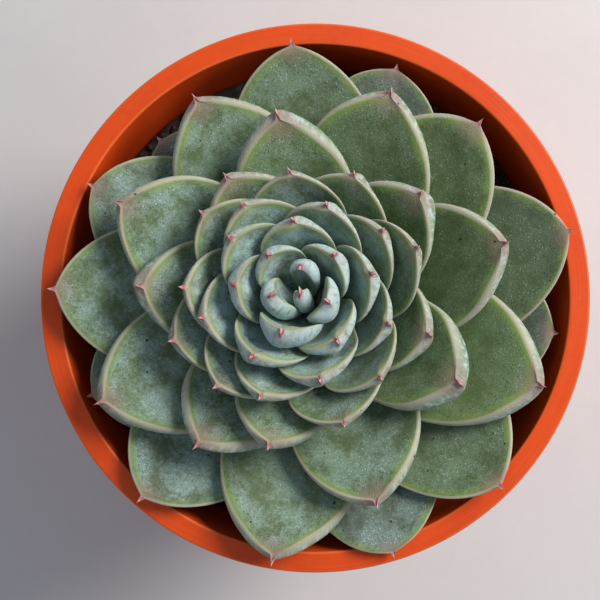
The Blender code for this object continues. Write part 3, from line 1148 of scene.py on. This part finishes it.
@dataclass
class Rosette:
    """All the leaves and the stem that they grow from."""

    growth: Growth = field(default_factory=Growth)
    count: int = 57
    stem_clearance: float = 1.0 * MM
    stem_ridge: float = 0.25 * MM
    ridges_per_mm: float = 2.6
    thinnest_stem: float = 0.4 * MM
    stem_sides: int = 48
    stem_levels: int = 60
    pushed: dict[int, float] = field(default_factory=lambda: {
        0: -6, 1: 10, 2: 6, 3: -6, 4: 10, 6: 8, 8: -4, 10: 7, 11: 5, 12: -8, 14: 6, 15: -9, 18: -8,
        23: -4, 24: 11, 25: -10, 26: 2, 28: -6, 31: -3, 32: 2, 33: -2, 34: 15, 35: 3, 37: 3, 38: 2, 42: -5,
        43: -4, 45: 6, 46: -2, 47: -2, 48: -2, 49: -6, 50: 2, 52: -3, 53: 2, 54: -6, 55: 7, 56: 9,
    })
    grew: dict[int, float] = field(default_factory=lambda: {
        0: 0.9, 2: 1.04, 3: 0.93, 4: 0.95, 5: 1.12, 6: 0.82, 8: 0.93, 9: 0.96, 10: 1.05, 11: 0.92, 13: 1.04,
        16: 0.88, 18: 1.02, 19: 0.92, 22: 1.04, 24: 1.04, 26: 1.07, 29: 0.9, 30: 0.96, 34: 1.04, 36: 0.91,
        37: 1.04, 42: 1.05, 43: 0.93, 44: 1.03, 45: 0.95, 47: 1.03, 50: 1.03, 51: 0.97, 52: 1.04,
    })

    def build_leaves(self, material: bpy.types.Material) -> list[bpy.types.Object]:
        """Builds every leaf.

        Args:
            material: The leaf skin.

        Returns:
            The pieces.
        """
        pieces = []
        for number in range(self.count):
            leaf = Leaf(number, self.growth, self.pushed.get(number, 0.0), self.grew.get(number, 1.0))
            pieces.append(dress(leaf.build(material), "leaf", f"leaf_{number:02d}"))
        return pieces

    def build_stem(self, material: bpy.types.Material) -> bpy.types.Object:
        """Builds the short stem, ridged where leaves have been shed.

        Args:
            material: The stem bark.

        Returns:
            The piece.
        """
        low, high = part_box("stem")
        heights = np.linspace(low.z, high.z, self.stem_levels)
        age = (self.growth.crown_top - heights) / self.growth.base_step
        radius = self.growth.neck(np.clip(age, 0.0, self.count)) - self.stem_clearance
        ridges = self.stem_ridge * np.sin(heights / MM * self.ridges_per_mm)
        radius = np.maximum(radius + ridges, self.thinnest_stem)
        turn = np.linspace(0.0, 2 * np.pi, self.stem_sides, endpoint=False)
        lumps = 1.0 + 0.03 * np.sin(5 * turn[None, :] + heights[:, None] / MM)
        grid = self.growth.leaned(
            radius[:, None] * lumps * np.cos(turn), radius[:, None] * lumps * np.sin(turn), heights[:, None]
        )
        faces = capped_faces(self.stem_levels, self.stem_sides)
        return dress(add_piece("bark_stem", with_ends(grid), faces, material), "stem", "stem")


# --------------------------------------------------------------------------- pot and soil


class Corner(Enum):
    """How a corner of the pot's profile is finished."""

    SHARP = "sharp"
    ROUND = "round"
    LIP = "lip"


@dataclass
class Pot:
    """The moulded pot: a tapered wall under a flat rim band."""

    rim_width: float = 5.3 * MM
    rim_depth: float = 14 * MM
    taper: float = 0.155
    wall: float = 2.4 * MM
    foot_width: float = 7 * MM
    floor_bottom: float = 4 * MM
    floor_top: float = 7 * MM
    drain: float = 6 * MM
    soft_edge: float = 0.6 * MM
    plain_edge: float = 0.42 * MM
    plain_wear_and_highlight: float = 0.3
    rim_draft: float = 0.6 * MM
    longest_run: float = 4 * MM
    corner_hold: float = 0.12 * MM
    sides: int = 256
    arc_points: int = 5

    def __post_init__(self) -> None:
        """Takes the pot's size from its CAD node."""
        low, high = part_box("pot")
        self.radius = 0.5 * (high.x - low.x)
        self.height = high.z

    def inside(self, height: float) -> float:
        """Radius of the inner wall at a height."""
        return self.radius - self.rim_width - self.taper * (self.height - height)

    def corners(self) -> list[tuple[float, float, Corner]]:
        """The profile's corners, up the outside and down the inside.

        Returns:
            Radius, height and finish of each.
        """
        under = self.height - self.rim_depth
        outside = self.inside(0.0) + self.wall
        return [
            (outside, 0.0, Corner.ROUND),
            (self.inside(under) + self.wall, under, Corner.SHARP),
            (self.radius - self.rim_draft, under, Corner.ROUND),
            (self.radius, self.height, Corner.LIP),
            (self.radius - self.rim_width, self.height, Corner.LIP),
            (self.inside(under), under, Corner.SHARP),
            (self.inside(self.floor_top), self.floor_top, Corner.ROUND),
            (self.drain, self.floor_top, Corner.ROUND),
            (self.drain, self.floor_bottom, Corner.ROUND),
            (outside - self.foot_width, self.floor_bottom, Corner.SHARP),
            (outside - self.foot_width, 0.0, Corner.ROUND),
        ]

    def profile(self) -> list[tuple[float, float, float]]:
        """The rounded profile.

        Returns:
            Radius, height and how much the edge is lightened, by wear and as painted highlight, for each
            point.
        """
        corners = self.corners()
        spots: list[tuple[float, float, float]] = []
        for i, (radius, height, finish) in enumerate(corners):
            if finish is Corner.SHARP:
                spots.append((radius, height, 0.0))
                continue
            here = np.array([radius, height])
            before = np.array(corners[i - 1][:2]) - here
            after = np.array(corners[(i + 1) % len(corners)][:2]) - here
            size = self.soft_edge if finish is Corner.LIP else self.plain_edge
            start = here + before / np.linalg.norm(before) * size
            end = here + after / np.linalg.norm(after) * size
            for share in np.linspace(0.0, 1.0, self.arc_points):
                spot = (1 - share) ** 2 * start + 2 * share * (1 - share) * here + share**2 * end
                # Wear plus painted highlight: the lip's edges are lightened most at the middle of their
                # rounding.
                wear_and_highlight = math.sin(math.pi * share) if finish is Corner.LIP else self.plain_wear_and_highlight
                spots.append((float(spot[0]), float(spot[1]), wear_and_highlight))
        return self._filled(spots)

    def _filled(self, spots: list[tuple[float, float, float]]) -> list[tuple[float, float, float]]:
        """Adds points on long straight runs, so that the shading stays flat there.

        Args:
            spots: The closed profile.

        Returns:
            The profile with more points.
        """
        filled = []
        for i, spot in enumerate(spots):
            after = spots[(i + 1) % len(spots)]
            run = math.hypot(after[0] - spot[0], after[1] - spot[1])
            filled.append(spot)
            if run <= 0.5 * self.longest_run:
                continue
            near = self.corner_hold / run
            between = np.linspace(0.0, 1.0, max(int(run / self.longest_run), 1) + 1)[1:-1]
            for share in (near, *between, 1.0 - near):
                radius = spot[0] + (after[0] - spot[0]) * share
                height = spot[1] + (after[1] - spot[1]) * share
                filled.append((radius, height, 0.0))
        return filled

    def build(self, material: bpy.types.Material) -> bpy.types.Object:
        """Builds the pot.

        Args:
            material: The pot plastic.

        Returns:
            The piece.
        """
        profile = np.array(self.profile())
        turn = np.linspace(0.0, 2 * np.pi, self.sides, endpoint=False)
        radius, height, wear_and_highlight = (profile[:, i, None] for i in range(3))
        grid = np.stack(np.broadcast_arrays(radius * np.cos(turn), radius * np.sin(turn), height), axis=-1)
        faces = [face[::-1] for face in ring_faces(len(profile), self.sides, closed=True)]
        piece = add_piece("moulded_pot", grid.reshape(-1, 3), faces, material)
        steps = np.linalg.norm(np.diff(profile[:, :2], axis=0), axis=1)
        way = np.concatenate([[0.0], np.cumsum(steps)])[:, None] / MM
        wall = np.stack(np.broadcast_arrays(turn * self.radius / MM, way, wear_and_highlight), axis=-1)
        carry(piece, "wall", wall.reshape(-1, 3))
        return dress(piece, "pot", "pot")


@dataclass(frozen=True)
class Bits:
    """One kind of loose bit on the soil.

    Sizes are radii in metres, and sink is how deep a bit sits, as a share of its radius.
    """

    name: str
    count: int
    smallest: float
    largest: float
    sink: float
    seed: int


@dataclass
class Soil:
    """The soil that fills the pot, with loose grains and pale bits on it."""

    pot: Pot
    grains: Bits = Bits("soil_grains", 1700, 0.35 * MM, 1.1 * MM, 0.5, 7)
    pale_bits: Bits = Bits("pale_bits", 26, 0.4 * MM, 1.0 * MM, 0.2, 11)
    settled: float = 1.4 * MM
    wall_gap: float = 1.4 * MM
    lump_height: float = 0.35 * MM
    bare_from: float = 36 * MM
    rings: int = 60
    sides: int = 160

    def __post_init__(self) -> None:
        """Takes the soil's place from its CAD node."""
        self.low, self.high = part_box("soil")
        self.edge = 0.5 * (self.high.x - self.low.x)
        self.top = self.high.z - self.settled

    def surface(self, x: Any, y: Any) -> Any:
        """Height of the lumpy surface.

        Args:
            x: Places along X.
            y: Places along Y.

        Returns:
            The heights.
        """
        lumps = (
            np.sin(410 * x + 1.3) * np.cos(370 * y - 0.4)
            + 0.6 * np.sin(900 * x + 2.1 * np.sin(500 * y))
            + 0.4 * np.cos(1300 * y + 1.7 * np.sin(700 * x))
        )
        return self.top + self.lump_height * lumps

    def build_bed(self, material: bpy.types.Material) -> bpy.types.Object:
        """Builds the body of soil.

        Args:
            material: The soil mix.

        Returns:
            The piece.
        """
        turn = np.linspace(0.0, 2 * np.pi, self.sides, endpoint=False)
        shares = np.linspace(0.02, 1.0, self.rings)[:, None]
        x, y = shares * self.edge * np.cos(turn), shares * self.edge * np.sin(turn)
        upper = np.stack([x, y, self.surface(x, y)], axis=-1)
        foot = self.pot.inside(self.low.z) - self.wall_gap
        lower = np.stack(np.broadcast_arrays(foot * np.cos(turn), foot * np.sin(turn), self.low.z), axis=-1)
        grid = np.concatenate([upper, lower[None]])
        flat = np.vstack([grid.reshape(-1, 3), [0.0, 0.0, self.top], [0.0, 0.0, self.low.z]])
        faces = [face[::-1] for face in capped_faces(len(grid), self.sides)]
        return dress(add_piece("soil_bed", flat, faces, material), "soil", "soil")

    def scatter(self, bits: Bits, material: bpy.types.Material) -> bpy.types.Object:
        """Scatters rough bits over the open ring of soil.

        Args:
            bits: What they are.
            material: Their finish.

        Returns:
            One piece that holds them all.
        """
        draw = np.random.default_rng(bits.seed)
        ball, ball_faces = rough_ball()
        points, faces = [], []
        for _ in range(bits.count):
            radius = math.sqrt(draw.uniform(self.bare_from**2, (self.edge - bits.largest) ** 2))
            turn = draw.uniform(0.0, 2 * math.pi)
            size = bits.smallest + (bits.largest - bits.smallest) * draw.uniform() ** 2
            stretch = draw.uniform(0.65, 1.25, 3) * size
            lumpy = ball * (1.0 + draw.uniform(-0.22, 0.22, (len(ball), 1))) * stretch
            spin = rotation(draw.uniform(0.0, 2 * math.pi, 3))
            x, y = radius * math.cos(turn), radius * math.sin(turn)
            centre = np.array([x, y, float(self.surface(x, y)) + size * (1.0 - bits.sink)])
            start = len(points) * len(ball)
            points.append(lumpy @ spin.T + centre)
            faces.extend((face + start).tolist() for face in ball_faces)
        return dress(add_piece(bits.name, np.concatenate(points), faces, material), "soil")


def rotation(angles: np.ndarray) -> np.ndarray:
    """A rotation matrix from three angles.

    Args:
        angles: Turns about X, Y and Z, in radians.

    Returns:
        The matrix.
    """
    (cx, cy, cz), (sx, sy, sz) = np.cos(angles), np.sin(angles)
    about_x = np.array([[1, 0, 0], [0, cx, -sx], [0, sx, cx]])
    about_y = np.array([[cy, 0, sy], [0, 1, 0], [-sy, 0, cy]])
    about_z = np.array([[cz, -sz, 0], [sz, cz, 0], [0, 0, 1]])
    return about_z @ about_y @ about_x


def rough_ball() -> tuple[np.ndarray, np.ndarray]:
    """A ball of 42 points.

    Returns:
        Its points and its triangles.
    """
    ball = bmesh.new()
    bmesh.ops.create_icosphere(ball, subdivisions=2, radius=1.0)
    points = np.array([vert.co for vert in ball.verts])
    faces = np.array([[vert.index for vert in face.verts] for face in ball.faces])
    ball.free()
    return points, faces


# --------------------------------------------------------------------------- the studio


@dataclass
class Studio:
    """A pale floor, one large soft light from the right and a camera straight above."""

    eye: tuple[float, float, float] = (-3.94 * MM, -0.51 * MM, 430 * MM)
    seen_width: float = 152.7 * MM
    seen_height: float = 110 * MM
    key_from: tuple[float, float, float] = (0.62, 0.36, 0.62)
    key_size: float = 0.5
    key_power: float = 10.5
    sky: Colour = (0.78, 0.86, 1.0)
    sky_strength: float = 0.40
    key_colour: Colour = (1.0, 0.97, 0.93)
    key_aim: tuple[float, float, float] = (0.0, 0.0, 100 * MM)
    clip: Span = (0.01, 10.0)
    floor_half: float = 8.0
    floor_steps: int = 24

    def build_floor(self, material: bpy.types.Material) -> bpy.types.Object:
        """Lays the floor under the pot.

        Args:
            material: The floor's finish.

        Returns:
            The floor.
        """
        steps = self.floor_steps
        line = np.linspace(-self.floor_half, self.floor_half, steps)
        x, y = np.meshgrid(line, line)
        points = np.stack([x.ravel(), y.ravel(), np.zeros(x.size)], axis=-1)
        faces = []
        for row in range(steps - 1):
            for column in range(steps - 1):
                corner = row * steps + column
                faces.append((corner, corner + 1, corner + steps + 1, corner + steps))
        floor = add_piece("floor", points, faces, material)
        return floor

    def light(self) -> None:
        """Hangs the soft light and fills the room with pale sky."""
        lamp = bpy.data.lights.new("soft_light", "AREA")
        lamp.shape = "DISK"
        lamp.size = self.key_size
        lamp.energy = self.key_power
        lamp.color = self.key_colour
        holder = bpy.data.objects.new("soft_light", lamp)
        holder.location = self.key_from
        aim = Vector(self.key_aim) - Vector(self.key_from)
        holder.rotation_euler = aim.to_track_quat("-Z", "Y").to_euler()
        bpy.context.scene.collection.objects.link(holder)
        world = bpy.data.worlds.new("studio")
        world.use_nodes = True
        background = world.node_tree.nodes["Background"]
        background.inputs["Color"].default_value = (*self.sky, 1.0)
        background.inputs["Strength"].default_value = self.sky_strength
        bpy.context.scene.world = world

    def build_camera(self) -> bpy.types.Object:
        """Hangs the camera straight above the plant.

        Returns:
            The camera.
        """
        data = bpy.data.cameras.new("camera")
        data.angle = 2 * math.atan(0.5 * self.seen_width / (self.eye[2] - self.seen_height))
        data.clip_start, data.clip_end = self.clip
        camera = bpy.data.objects.new("camera", data)
        camera.location = self.eye
        bpy.context.scene.collection.objects.link(camera)
        bpy.context.scene.camera = camera
        bpy.context.scene.view_settings.view_transform = "Standard"
        return camera


def report(pieces: Iterable[bpy.types.Object]) -> None:
    """Logs each piece with its face count.

    Args:
        pieces: The pieces.
    """
    for piece in pieces:
        log.info("%s: %d faces", piece.name, len(piece.data.polygons))


def main() -> None:
    """Builds the plant, its pot and the studio, in order."""
    logging.basicConfig(level=logging.INFO, format="%(name)s: %(message)s")
    shop = Workshop()
    studio = Studio()
    studio.build_camera()
    studio.light()
    report([studio.build_floor(FloorSheet().build(shop))])

    pot = Pot()
    report([pot.build(PotPlastic().build(shop))])
    rosette = Rosette()
    soil = Soil(pot)
    mix = SoilMix().build(shop)
    report([
        soil.build_bed(mix),
        soil.scatter(soil.grains, mix),
        soil.scatter(soil.pale_bits, Perlite().build(shop)),
    ])
    report([rosette.build_stem(StemBark().build(shop))])
    report(rosette.build_leaves(LeafSkin().build(shop)))


if __name__ == "__main__":
    main()
